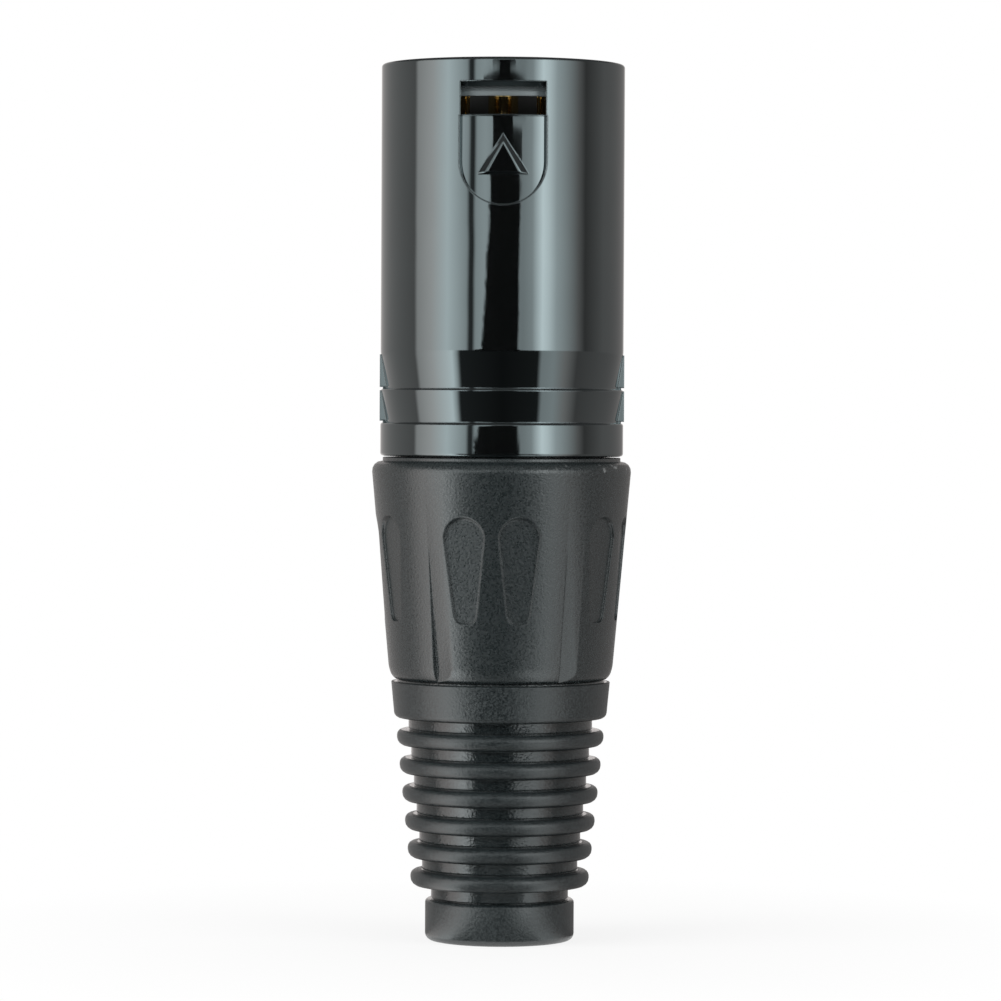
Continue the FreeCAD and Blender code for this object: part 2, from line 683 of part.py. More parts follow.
def shell():
    """Die-cast shell: barrel with window and pad, three stepped bands, mouth, ledge, keyways and threaded rear bore."""
    body = document.addObject("PartDesign::Body", "shell_casting")
    corners = [
        ("rear_edge_radius", "shell_rear"),
        ("shell_radius", "rear_edge"),
        ("shell_radius", "low_step_edge"),
        ("break_radius", "low_step"),
        ("band_root_radius", "low_step"),
        ("band_root_radius", "low_groove_top"),
        ("shell_radius", "high_step_edge"),
        ("break_radius", "high_step"),
        ("band_root_radius", "high_step"),
        ("band_root_radius", "high_groove_top"),
        ("shell_radius", "band_top"),
        ("shell_radius", "rim_edge"),
        ("rim_outer_radius", "rim"),
        ("rim_inner_radius", "rim"),
        ("mouth_radius", "rim_edge"),
        ("mouth_radius", "insert_face"),
        ("ledge_radius", "insert_face"),
        ("ledge_radius", "ledge_bottom"),
        ("rear_bore_radius", "ledge_bottom"),
        ("rear_bore_radius", "thread_bore_end"),
        ("thread_bore_radius", "thread_bore_end"),
        ("thread_bore_radius", "thread_entry"),
        ("thread_entry_radius", "shell_rear"),
    ]
    turned(body, "shell_form", corners)
    document.recompute()
    keyway = sector(
        body, "keyway", "XZ_Plane", "keyway_width", "keyway_inner", "keyway_radius", "keyway_bottom",
        "ledge_bottom", removed=True,
    )
    around(body, "keyways", [keyway], 2)
    low_rib = sector(
        body, "low_rib", "XZ_Plane", "side_rib_width", "rib_inner_radius", "rib_outer_radius",
        "low_rib_bottom", "high_step_edge",
    )
    high_rib = sector(
        body, "high_rib", "XZ_Plane", "side_rib_width", "rib_inner_radius", "rib_outer_radius",
        "high_rib_bottom", "band_top",
    )
    around(body, "side_ribs", [low_rib, high_rib], 2)
    sector(
        body, "mouth_key", "YZ_Plane", "mouth_key_width", "mouth_key_inner", "mouth_key_outer",
        "mouth_key_bottom", "mouth_key_top",
    )
    corners = [
        ("-window_outer", "sill"),
        ("-shell_radius", "sill"),
        ("-sill_knee", "sill_inner"),
        ("-window_inner", "sill_inner"),
        ("-window_inner", "window_top"),
        ("-land_radius", "window_top"),
        ("-land_radius", "ramp_foot"),
        ("-window_outer", "ramp_outer"),
    ]
    side = outline(body, "window_side", "YZ_Plane", corners)
    extruded(body, "latch_window", side, "window_width", removed=True, sides="Symmetric")
    opened = document.addObject("Part::Cut", "shell_opened")
    opened.Base = body
    opened.Tool = thumb_pad()
    finished = document.addObject("Part::Fuse", "shell")
    finished.Base = opened
    finished.Tool = triangle()
    return finished


def insert():
    """Insulator: boss through the ledge, keyed flange, contact holder and crossed barriers between the cups."""
    body = new_body("insert")
    corners = [
        ("0", "holder_rear"),
        ("holder_radius", "holder_rear"),
        ("holder_radius", "flange_bottom"),
        ("flange_radius", "flange_bottom"),
        ("flange_radius", "ledge_bottom"),
        ("boss_radius", "ledge_bottom"),
        ("boss_radius", "insert_face"),
        ("0", "insert_face"),
    ]
    turned(body, "insert_form", corners)
    document.recompute()
    lug = sector(
        body, "key_lug", "XZ_Plane", "lug_width", "lug_inner", "lug_radius", "flange_bottom", "ledge_bottom",
    )
    around(body, "key_lugs", [lug], 2)
    turn = "placement(vector(0; 0; sizes.barrier_end); rotation(vector(0; 0; 1); 45))"
    plate = rectangle(
        body, "barrier_section", "XY_Plane", "-barrier_reach", "barrier_reach", "-barrier_half", "barrier_half",
        placement=turn,
    )
    barrier = extruded(body, "barrier", plate, "barrier_height")
    around(body, "barriers", [barrier], 2, angle=90)
    places = [("contact_circle", "0"), ("-contact_circle", "0"), ("0", "contact_circle")]
    bores = rings(body, "contact_bores", places, "contact_hole_radius", "insert_face")
    extruded(body, "contact_holes", bores, "mouth_depth", removed=True)
    seats = rings(body, "collar_seats", places, "collar_hole_radius", "holder_rear")
    extruded(body, "collar_holes", seats, "collar_seat", removed=True, backwards=True)
    return body


def contact(name, across, along, turn):
    """Turned contact: rounded pin, collar that seats in the insert, solder cup opened towards the outside."""
    body = new_body(name)
    corners = [
        ("cup_bore_radius", "contact_tail"),
        ("cup_radius", "contact_tail"),
        ("cup_radius", "collar_foot_level"),
        ("collar_radius", "collar_foot_level"),
        ("collar_radius", "collar_top_level"),
        ("shank_radius", "collar_top_level"),
        ("shank_radius", "insert_face"),
        ("contact_radius", "insert_face"),
        ("contact_radius", "tip_shoulder"),
        ("tip_knee_radius", "tip_knee"),
        ("tip_radius", "contact_tip"),
        ("0", "contact_tip"),
        ("0", "cup_floor"),
        ("cup_bore_radius", "cup_floor"),
    ]
    turned(body, name + "_form", corners)
    document.recompute()
    opening = rectangle(
        body, name + "_opening", "XZ_Plane", "cup_window_offset", "cup_window_outer", "cup_window_bottom",
        "cup_window_top",
    )
    extruded(body, name + "_cup", opening, "cup_window_width", removed=True, sides="Symmetric")
    body.Placement.Rotation = FreeCAD.Rotation(Vector(0, 0, 1), turn)
    body.setExpression("Placement.Base.x", f"{across} * sizes.contact_circle * 1 mm")
    body.setExpression("Placement.Base.y", f"{along} * sizes.contact_circle * 1 mm")
    return body


def ground_spring():
    """Bent strip that lies on the holder and leans out against the shell's bore, below the window side."""
    body = new_body("ground_spring")
    corners = [
        ("-spring_seat", "spring_top"),
        ("-spring_seat", "spring_bottom"),
        ("-spring_bend", "spring_bottom"),
        ("-spring_tip", "spring_tip_level"),
        ("-spring_tip_face", "spring_tip_level"),
        ("-spring_bend_face", "spring_bottom_face"),
        ("-spring_seat_face", "spring_bottom_face"),
        ("-spring_seat_face", "spring_top"),
    ]
    side = outline(body, "spring_side", "YZ_Plane", corners)
    extruded(body, "spring_form", side, "spring_width", sides="Symmetric")
    return body


def chuck():
    """Slotted collet: keyed flange, funnel for the cores, four fingers with gripping teeth."""
    body = new_body("chuck")
    corners = [
        ("grip_radius", "chuck_rear"),
        ("finger_tip_radius", "chuck_rear"),
        ("chuck_radius", "finger_shoulder"),
        ("chuck_radius", "chuck_shoulder"),
        ("chuck_flange_radius", "chuck_shoulder"),
        ("chuck_flange_radius", "chuck_front"),
        ("chuck_mouth_radius", "chuck_front"),
        ("chuck_mouth_radius", "chuck_mouth_floor"),
        ("grip_radius", "funnel_bottom"),
    ]
    for tooth in reversed(range(TEETH)):
        corners.append(("grip_radius", f"tooth_{tooth}_head"))
        corners.append(("tooth_radius", f"tooth_{tooth}_tip"))
        corners.append(("grip_radius", f"tooth_{tooth}_foot"))
    turned(body, "chuck_form", corners)
    document.recompute()
    lug = sector(
        body, "chuck_lug", "XZ_Plane", "lug_width", "chuck_lug_inner", "lug_radius", "chuck_shoulder",
        "chuck_front",
    )
    around(body, "chuck_lugs", [lug], 2)
    slot = rectangle(body, "slit_side", "XZ_Plane", "-slit_reach", "slit_reach", "slit_bottom", "slit_top")
    slit = extruded(body, "slit", slot, "slit_width", removed=True, sides="Symmetric")
    around(body, "slits", [slit], SLITS, angle=90)
    return body


def check():
    """Stop on any object that failed to rebuild."""
    failed = [item.Name for item in document.Objects if {"Invalid", "Error"} & set(item.State)]
    if failed:
        raise RuntimeError(f"these objects failed: {failed}")


def export(pieces):
    """Write one STEP file for each piece, once every one of them is a valid solid."""
    for piece in pieces:
        if piece.Shape.isNull() or not piece.Shape.isValid():
            raise RuntimeError(f"{piece.Label} has no valid shape")
    os.makedirs("parts", exist_ok=True)
    for piece in pieces:
        piece.Shape.exportStep(f"parts/{piece.Label}.step")
        print(piece.Label, len(piece.Shape.Solids), round(piece.Shape.Volume, 3))


fill_sheet()
pieces = [
    shell(),
    insert(),
    contact("pin_1", 1, 0, 0),
    contact("pin_2", -1, 0, 180),
    contact("pin_3", 0, 1, 90),
    ground_spring(),
    chuck(),
    bushing(),
    boot(),
]
document.recompute()
check()
export(pieces)
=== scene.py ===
from math import atan2, cos, pi, radians, sin

import bmesh
import bpy
from mathutils import Matrix, Vector

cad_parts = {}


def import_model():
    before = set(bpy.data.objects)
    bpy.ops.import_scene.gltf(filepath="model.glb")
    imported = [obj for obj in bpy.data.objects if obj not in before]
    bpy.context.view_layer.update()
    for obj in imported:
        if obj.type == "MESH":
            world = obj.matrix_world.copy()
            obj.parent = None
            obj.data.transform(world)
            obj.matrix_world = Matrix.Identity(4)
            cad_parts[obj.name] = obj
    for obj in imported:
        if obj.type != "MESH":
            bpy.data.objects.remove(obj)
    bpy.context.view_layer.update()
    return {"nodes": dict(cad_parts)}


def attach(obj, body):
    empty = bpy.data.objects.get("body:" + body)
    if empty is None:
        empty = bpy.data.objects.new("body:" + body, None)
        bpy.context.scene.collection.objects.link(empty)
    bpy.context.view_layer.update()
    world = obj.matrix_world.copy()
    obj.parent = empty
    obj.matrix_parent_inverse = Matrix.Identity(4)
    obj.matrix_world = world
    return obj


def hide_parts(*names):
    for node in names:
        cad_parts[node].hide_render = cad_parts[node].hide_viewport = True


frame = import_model()

MM = 0.001
SEGMENTS = 240
ROUNDING_STEPS = 4

# Levels along the plug's axis, in millimetres
COLLAR_BOTTOM = 17.42
COLLAR_TOP = 20.27
BUSHING_BOTTOM = 20.47
SLEEVE_TOP = 24.22
THROAT_TOP = 26.02
FINGER_SHOULDER = 36.00
BUSHING_TOP = 37.50
SHELL_REAR = 37.90
THREAD_START = 38.75
LOW_STEP = 40.50
HIGH_STEP = 43.13
NOSE_END = 44.00
THREAD_BORE_END = 44.35
BAND_TOP = 45.87
LEDGE_BOTTOM = 52.05
INSERT_FACE = 53.25
SILL = 63.70
RIM = 68.45

# Radii about the axis, in millimetres
SHELL_RADIUS = 9.50
STEP_RADIUS = 9.08
PAD_FLOOR = 9.15
THREAD_BORE = 8.35
MOUTH_BORE = 8.05
REAR_BORE = 7.95
LEDGE_BORE = 7.35
BUSHING_HIGH = 10.20
BUSHING_LOW = 8.68
SHOULDER_RADIUS = 9.30
NOSE_RADIUS = 7.95
NOSE_BORE = 6.70
BOOT_SOCKET = 6.65
THROAT_BORE = 4.60
CABLE_BORE = 3.75

# The window, the thread and the bushing's pattern
WINDOW_HALF = 3.275
THREAD_HEIGHT = 0.38
THREAD_WIDTH = 0.86
THREAD_STEPS = 48
LOBES = 5
LOBE_TURN = radians(-4.5)
DROP_SPREAD = radians(13.0)
FLUTE_TURNS = (-180, -109, -35.4, 31.9, 105)


# Shapes

def link(name, bm):
    """An object from a bmesh in metres, with its faces turned outwards."""
    bmesh.ops.recalc_face_normals(bm, faces=bm.faces)
    mesh = bpy.data.meshes.new(name)
    bm.to_mesh(mesh)
    bm.free()
    piece = bpy.data.objects.new(name, mesh)
    bpy.context.scene.collection.objects.link(piece)
    return piece


def crease(piece, angle=32.0):
    """Smooth shading that leaves edges sharper than the angle, with large faces ruling the normals."""
    piece.data.polygons.foreach_set("use_smooth", [True] * len(piece.data.polygons))
    piece.data.set_sharp_from_angle(angle=radians(angle))
    weighted = piece.modifiers.new("face_weights", "WEIGHTED_NORMAL")
    weighted.mode = "FACE_AREA"
    weighted.keep_sharp = True


def spun(corners, segments=SEGMENTS, start=0.0, sweep=360.0):
    """A ring, or a sector in degrees, from a closed half section of (radius, level, rounding) in mm."""
    bm = bmesh.new()
    points = [bm.verts.new((radius * MM, 0, level * MM)) for radius, level, rounding in corners]
    for index, point in enumerate(points):
        bm.edges.new((point, points[(index + 1) % len(points)]))
    for point, (radius, level, rounding) in zip(points, corners):
        if rounding:
            bmesh.ops.bevel(
                bm, geom=[point], offset=rounding * MM, offset_type="OFFSET", affect="VERTICES",
                segments=ROUNDING_STEPS, profile=0.5, material=-1, clamp_overlap=False,
            )
    whole = sweep >= 360.0
    section = bm.verts[:] + bm.edges[:]
    if not whole:
        bmesh.ops.contextual_create(bm, geom=bm.edges[:])
        section = bm.verts[:] + bm.edges[:] + bm.faces[:]
    bmesh.ops.rotate(bm, verts=bm.verts, cent=(0, 0, 0), matrix=Matrix.Rotation(radians(start), 3, "Z"))
    bmesh.ops.spin(
        bm, geom=section, cent=(0, 0, 0), axis=(0, 0, 1), dvec=(0, 0, 0), angle=radians(sweep),
        space=Matrix(), steps=segments, use_merge=whole, use_normal_flip=False, use_duplicate=False,
    )
    bmesh.ops.remove_doubles(bm, verts=bm.verts, dist=1e-7)
    return bm


def rectangle(left, bottom, right, top):
    """The corners of an upright rectangle."""
    return [(left, bottom), (right, bottom), (right, top), (left, top)]


def prism(outline, depth):
    """A straight block of that depth, centred on the XY plane, from corners (x, y) in millimetres."""
    bm = bmesh.new()
    face = bm.faces.new([bm.verts.new((x * MM, y * MM, -depth / 2 * MM)) for x, y in outline])
    grown = bmesh.ops.extrude_face_region(bm, geom=[face])
    top = [item for item in grown["geom"] if isinstance(item, bmesh.types.BMVert)]
    bmesh.ops.translate(bm, verts=top, vec=(0, 0, depth * MM))
    return bm


def facing_front(distance, level=0.0):
    """Stands a lying block up so that it faces -Y, that far in front of the axis and that high, in metres."""
    return Matrix(((1, 0, 0, 0), (0, 0, -1, -distance), (0, 1, 0, level), (0, 0, 0, 1)))


def moved(bm, matrix):
    """The same bmesh, put in place."""
    bmesh.ops.transform(bm, matrix=matrix, verts=bm.verts)
    return bm


def thread(core, height, turns):
    """A right-hand ridge of 1 mm pitch; a negative height points inwards."""
    bm = bmesh.new()
    crest = core + height
    half_foot, half_crest = THREAD_WIDTH / 2, THREAD_WIDTH / 8
    section = [(core, -half_foot), (crest, -half_crest), (crest, half_crest), (core, half_foot)]
    points = [bm.verts.new((radius * MM, 0, (THREAD_START + level) * MM)) for radius, level in section]
    bm.faces.new(points)
    bmesh.ops.spin(
        bm, geom=bm.verts[:] + bm.edges[:] + bm.faces[:], cent=(0, 0, 0), axis=(0, 0, 1),
        dvec=(0, 0, MM / THREAD_STEPS), angle=2 * pi * turns, space=Matrix(), steps=int(THREAD_STEPS * turns),
        use_merge=False, use_normal_flip=False, use_duplicate=False,
    )
    return bm


def apply_modifiers(piece):
    """Fix the piece's modifiers in its mesh."""
    graph = bpy.context.evaluated_depsgraph_get()
    mesh = bpy.data.meshes.new_from_object(piece.evaluated_get(graph))
    piece.modifiers.clear()
    piece.data = mesh


def true_walls(piece):
    """Upright turned walls take the normals of a true cylinder, so that they mirror without kinks."""
    same_reach = 3e-6
    straight_out = 0.99
    apply_modifiers(piece)
    mesh = piece.data
    normals = [Vector(corner.vector) for corner in mesh.corner_normals]
    for face in mesh.polygons:
        spots = [mesh.vertices[i].co for i in face.vertices]
        reaches = [spot.xy.length for spot in spots]
        facing = face.normal.xy.dot(face.center.xy.normalized())
        if max(reaches) - min(reaches) < same_reach and abs(facing) > straight_out:
            side = 1 if facing > 0 else -1
            for corner, spot in zip(face.loop_indices, spots):
                normals[corner] = Vector((spot.x, spot.y, 0)).normalized() * side
    mesh.normals_split_custom_set(normals)


def combine(piece, tools, operation="DIFFERENCE"):
    """Cut tools out of the piece, or join them to it; the tools are used up."""
    for tool in tools:
        step = piece.modifiers.new("step", "BOOLEAN")
        step.operation = operation
        step.solver = "EXACT"
        step.object = tool
    apply_modifiers(piece)
    for tool in tools:
        bpy.data.objects.remove(tool)


def settle(piece, body, slot, *nodes, material=None):
    """The piece rides on its body, stands for its CAD nodes and takes its finish."""
    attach(piece, body)
    if nodes:
        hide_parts(*nodes)
    if material:
        piece.data.materials.clear()
        piece.data.materials.append(material)


# Materials: lengths in metres, colours as linear red, green and blue

def new_material(name):
    """A material, its nodes, its shader and the place on the object."""
    material = bpy.data.materials.new(name)
    material.use_nodes = True
    nodes = material.node_tree.nodes
    shader = nodes["Principled BSDF"]
    place = nodes.new("ShaderNodeTexCoord")
    return material, material.node_tree, shader, place.outputs["Object"]


def add_noise(tree, coordinates, scale, detail=2.0, roughness=0.5):
    """Soft random spots from 0 to 1."""
    noise = tree.nodes.new("ShaderNodeTexNoise")
    noise.inputs["Scale"].default_value = scale
    noise.inputs["Detail"].default_value = detail
    noise.inputs["Roughness"].default_value = roughness
    tree.links.new(coordinates, noise.inputs["Vector"])
    return noise.outputs["Fac"]


def remap(tree, value, low, high, new_low, new_high):
    """Low becomes new_low and high new_high, straight between them and level outside."""
    span = tree.nodes.new("ShaderNodeMapRange")
    span.inputs["From Min"].default_value = low
    span.inputs["From Max"].default_value = high
    span.inputs["To Min"].default_value = new_low
    span.inputs["To Max"].default_value = new_high
    tree.links.new(value, span.inputs["Value"])
    return span.outputs["Result"]


def maths(tree, operation, *values):
    """One step of arithmetic on numbers and other nodes' outputs."""
    node = tree.nodes.new("ShaderNodeMath")
    node.operation = operation
    for socket, value in zip(node.inputs, values):
        if isinstance(value, float):
            socket.default_value = value
        else:
            tree.links.new(value, socket)
    return node.outputs["Value"]


def between(tree, factor, first, second):
    """A colour between two, each a plain colour or another node's."""
    mix = tree.nodes.new("ShaderNodeMix")
    mix.data_type = "RGBA"
    for name, colour in (("A", first), ("B", second)):
        if isinstance(colour, tuple):
            mix.inputs[name].default_value = (*colour, 1)
        else:
            tree.links.new(colour, mix.inputs[name])
    tree.links.new(factor, mix.inputs["Factor"])
    return mix.outputs["Result"]


def blended(tree, factor, first, last):
    """A number that goes from another node's to a plain one."""
    mix = tree.nodes.new("ShaderNodeMix")
    mix.inputs["B"].default_value = last
    tree.links.new(first, mix.inputs["A"])
    tree.links.new(factor, mix.inputs["Factor"])
    return mix.outputs["Result"]


def from_axis(tree, place, taper=0.0):
    """Distance from the plug's axis, less the taper times the height."""
    flat = tree.nodes.new("ShaderNodeVectorMath")
    flat.operation = "MULTIPLY"
    flat.inputs[1].default_value = (1, 1, 0)
    tree.links.new(place, flat.inputs[0])
    reach = tree.nodes.new("ShaderNodeVectorMath")
    reach.operation = "LENGTH"
    tree.links.new(flat.outputs["Vector"], reach.inputs[0])
    if not taper:
        return reach.outputs["Value"]
    split = tree.nodes.new("ShaderNodeSeparateXYZ")
    tree.links.new(place, split.inputs["Vector"])
    return maths(tree, "MULTIPLY_ADD", split.outputs["Z"], -taper, reach.outputs["Value"])


def add_bump(tree, height, distance, strength, normal=None):
    """Normals that follow a height, on top of other normals if they are given."""
    bump = tree.nodes.new("ShaderNodeBump")
    bump.inputs["Distance"].default_value = distance
    bump.inputs["Strength"].default_value = strength
    tree.links.new(height, bump.inputs["Height"])
    if normal:
        tree.links.new(normal, bump.inputs["Normal"])
    return bump.outputs["Normal"]


def soft_edges(tree, radius):
    """Normals that round every edge a little."""
    edge = tree.nodes.new("ShaderNodeBevel")
    edge.samples = 6
    edge.inputs["Radius"].default_value = radius
    return edge.outputs["Normal"]


def black_chrome():
    """Dark chrome: faintly wavy and smeared outside, duller on cut walls, with painted shade that makes it
    flat black inside the mouth.
    """
    material, tree, shader, place = new_material("black chrome")
    reach = from_axis(tree, place)
    cut_inner, cut_outer = 0.0085, 0.0090
    painted_shade_inner, painted_shade_outer = 0.00812, 0.00835
    cut_rough, mouth_rough = 0.34, 0.40
    tree.links.new(remap(tree, reach, cut_inner, cut_outer, 0.35, 1.0), shader.inputs["Metallic"])
    # Painted shade: this mask is 1 inside the mouth, where the shadow is painted into the colour.
    painted_shade_inside = remap(tree, reach, painted_shade_inner, painted_shade_outer, 1.0, 0.0)
    cut = remap(tree, reach, cut_inner, cut_outer, 1.0, 0.0)
    smear = add_noise(tree, place, 180.0, detail=4.0, roughness=0.6)
    outside = remap(tree, smear, 0.35, 0.7, 0.022, 0.065)
    walls = blended(tree, cut, outside, cut_rough)
    tree.links.new(blended(tree, painted_shade_inside, walls, mouth_rough), shader.inputs["Roughness"])
    tone = add_noise(tree, place, 90.0)
    plating = between(tree, tone, (0.171, 0.196, 0.202), (0.201, 0.228, 0.233))
    # Painted shade: a near-black colour inside the mouth stands in for the shadow there.
    tree.links.new(between(tree, painted_shade_inside, plating, (0.006, 0.006, 0.006)), shader.inputs["Base Color"])
    wave = add_noise(tree, place, 230.0, detail=1.0)
    edge = soft_edges(tree, 0.00014)
    normal = add_bump(tree, wave, distance=0.00006, strength=0.30, normal=edge)
    tree.links.new(normal, shader.inputs["Normal"])
    return material


def pale_specks(tree, place):
    """1 in a few small pale specks on the right of the bushing's shoulder, 0 elsewhere."""
    split = tree.nodes.new("ShaderNodeSeparateXYZ")
    tree.links.new(place, split.inputs["Vector"])
    total = remap(tree, add_noise(tree, place, 1500.0, detail=3.0), 0.60, 0.66, 0.0, 1.0)
    limits = (("Z", 0.0365, 0.0368), ("Z", 0.0374, 0.0372), ("X", 0.0040, 0.0048))
    for axis, outside, inside in limits:
        total = maths(tree, "MULTIPLY", total, remap(tree, split.outputs[axis], outside, inside, 0.0, 1.0))
    return total


def grained(name, dark, light, rough, index, grain_scale, grain_depth, edge_radius, grooves=None):
    """Matt moulded plastic with spark-eroded grain; grooves make it glossy low down, or pale specks mark it.
    """
    material, tree, shader, place = new_material(name)
    shader.inputs["IOR"].default_value = index
    grain = add_noise(tree, place, grain_scale, detail=1.0)
    speck = add_noise(tree, place, 1.3 * grain_scale)
    tone = between(tree, remap(tree, speck, 0.38, 0.62, 0.0, 1.0), dark, light)
    surface = remap(tree, speck, 0.35, 0.65, rough - 0.07, rough + 0.08)
    if grooves:
        low, high, taper, groove_rough = grooves
        worn = remap(tree, from_axis(tree, place, taper), low, high, 1.0, 0.0)
        surface = blended(tree, worn, surface, groove_rough)
    else:
        # Pale grey specks, only on the right of the bushing's shoulder.
        tone = between(tree, pale_specks(tree, place), tone, (0.16, 0.17, 0.17))
    tree.links.new(tone, shader.inputs["Base Color"])
    tree.links.new(surface, shader.inputs["Roughness"])
    edge = soft_edges(tree, edge_radius)
    normal = add_bump(tree, grain, distance=grain_depth, strength=0.8, normal=edge)
    tree.links.new(normal, shader.inputs["Normal"])
    return material


def plated(name, dark, light, rough):
    """Turned and plated metal with fine turning marks across its length."""
    material, tree, shader, place = new_material(name)
    shader.inputs["Metallic"].default_value = 1.0
    stretch = tree.nodes.new("ShaderNodeMapping")
    stretch.inputs["Scale"].default_value = (300, 300, 9000)
    tree.links.new(place, stretch.inputs["Vector"])
    marks = add_noise(tree, stretch.outputs["Vector"], 1.0)
    tree.links.new(between(tree, marks, dark, light), shader.inputs["Base Color"])
    tree.links.new(remap(tree, marks, 0.3, 0.7, rough - 0.05, rough + 0.08), shader.inputs["Roughness"])
    tree.links.new(add_bump(tree, marks, distance=0.000002, strength=0.3), shader.inputs["Normal"])
    return material


def moulded(name, dark, light, rough):
    """Plain moulded plastic with flow marks and a faint grain."""
    material, tree, shader, place = new_material(name)
    flow = add_noise(tree, place, 260.0, detail=4.0, roughness=0.6)
    grain = add_noise(tree, place, 5200.0)
    tree.links.new(between(tree, flow, dark, light), shader.inputs["Base Color"])
    tree.links.new(remap(tree, flow, 0.3, 0.7, rough - 0.04, rough + 0.06), shader.inputs["Roughness"])
    tree.links.new(add_bump(tree, grain, distance=0.000012, strength=0.5), shader.inputs["Normal"])
    return material


# Between the boot's ribs the rubber is glossy: the two distances from the axis, at height 0, between which the
# gloss ends, how much further out they lie for each metre of height, and the roughness there
BOOT_GROOVES = (0.00527, 0.00533, 0.15, 0.13)

CHROME = black_chrome()
BUSHING_PLASTIC = grained(
    "bushing plastic", (0.009, 0.013, 0.014), (0.016, 0.021, 0.022), rough=0.30, index=1.94,
    grain_scale=5200.0, grain_depth=0.000022, edge_radius=0.00016,
)
BOOT_RUBBER = grained(
    "boot rubber", (0.005, 0.008, 0.009), (0.021, 0.027, 0.028), rough=0.38, index=1.84,
    grain_scale=5200.0, grain_depth=0.000026, edge_radius=0.00010, grooves=BOOT_GROOVES,
)
GOLD = plated("gold plating", (0.66, 0.47, 0.19), (0.78, 0.58, 0.27), rough=0.08)
BRONZE = plated("spring bronze", (0.52, 0.34, 0.18), (0.64, 0.44, 0.26), rough=0.28)
INSULATOR = moulded("insulator plastic", (0.014, 0.015, 0.016), (0.024, 0.025, 0.027), rough=0.38)
ACETAL = moulded("natural acetal", (0.70, 0.69, 0.64), (0.78, 0.77, 0.73), rough=0.30)


# The shell

def side_rib(low, high, side):
    """One short rib across a tapered band, drafted outwards, on a lower foot that bridges the step."""
    root, root_half, face_half = 8.6, 1.14, 0.96
    foot_reach, reach = 9.30, 9.54
    rib = None
    for bottom, top, face in ((low - 0.24, low + 0.10, foot_reach), (low, high, reach)):
        outline = [(root, -root_half), (face, -face_half), (face, face_half), (root, root_half)]
        block = moved(prism(outline, top - bottom), Matrix.Translation((0, 0, (bottom + top) / 2 * MM)))
        block = link("rib", moved(block, Matrix.Rotation(radians(side), 4, "Z")))
        if rib:
            combine(rib, [block], "UNION")
        rib = rib or block
    return rib


def window_cutter():
    """The latch window: a sill, a land and a sloping lintel turned about the axis, between two flat sides."""
    inside, outside = 6.85, 10.5
    sill_back = 64.10
    land_radius, land_bottom, land_top = 8.45, 65.52, 65.90
    lintel, lintel_outside = 66.62, 67.31
    corners = [
        (inside, sill_back, 0),
        (PAD_FLOOR, sill_back, 0),
        (SHELL_RADIUS, SILL, 0),
        (outside, SILL, 0),
        (outside, lintel_outside, 0),
        (SHELL_RADIUS, lintel, 0),
        (land_radius, land_top, 0),
        (land_radius, land_bottom, 0),
        (inside, land_bottom, 0),
    ]
    window = link("window", spun(corners))
    sides = prism(rectangle(-WINDOW_HALF, 60, WINDOW_HALF, 70), 8.0)
    combine(window, [link("sides", moved(sides, facing_front(0.008)))], "INTERSECT")
    return window


def pad_cutter():
    """The thumb pad: a U outline less the shell's own core."""
    centre, top = 60.53, 64.0
    radius = 3.36
    steps = 48
    outline = [(-radius, top), (-radius, centre)]
    for step in range(1, steps):
        turn = pi + step * pi / steps
        outline.append((radius * cos(turn), centre + radius * sin(turn)))
    outline += [(radius, centre), (radius, top)]
    pad = link("pad", moved(prism(outline, 6.0), facing_front(0.0105)))
    core_inner, core_bottom, core_top = 2.0, 50, 75
    core = [
        (core_inner, core_bottom, 0),
        (PAD_FLOOR, core_bottom, 0),
        (PAD_FLOOR, core_top, 0),
        (core_inner, core_top, 0),
    ]
    combine(pad, [link("core", spun(core))])
    return pad


def raised_triangle():
    """The alignment triangle: a flat top, a narrow bevel round it and a steeper flank down to the pad."""
    rings_from_top = (
        # place in front of the axis, half width, foot and tip
        (-9.42, 1.16, 59.68, 61.74),
        (-9.335, 1.47, 59.60, 62.15),
        (-9.10, 1.92, 59.53, 62.75),
        (-8.75, 1.92, 59.53, 62.75),
    )
    bm = bmesh.new()
    rings = []
    for front, half, foot, tip in rings_from_top:
        corners = ((-half, foot), (half, foot), (0, tip))
        ring = [bm.verts.new((x * MM, front * MM, z * MM)) for x, z in corners]
        rings.append([bm.edges.new((ring[i], ring[(i + 1) % 3])) for i in range(3)])
    for upper, lower in zip(rings, rings[1:]):
        bmesh.ops.bridge_loops(bm, edges=upper + lower)
    bmesh.ops.holes_fill(bm, edges=rings[0] + rings[-1], sides=3)
    return link("triangle", bm)


def mouth_key():
    """The short rib inside the mouth, opposite the window."""
    inner, outer, bottom, top = 7.50, 8.20, 52.95, 63.45
    corners = [(inner, bottom, 0), (outer, bottom, 0), (outer, top, 0.1), (inner, top, 0.1)]
    return link("key", spun(corners, segments=6, start=84.0, sweep=12.0))


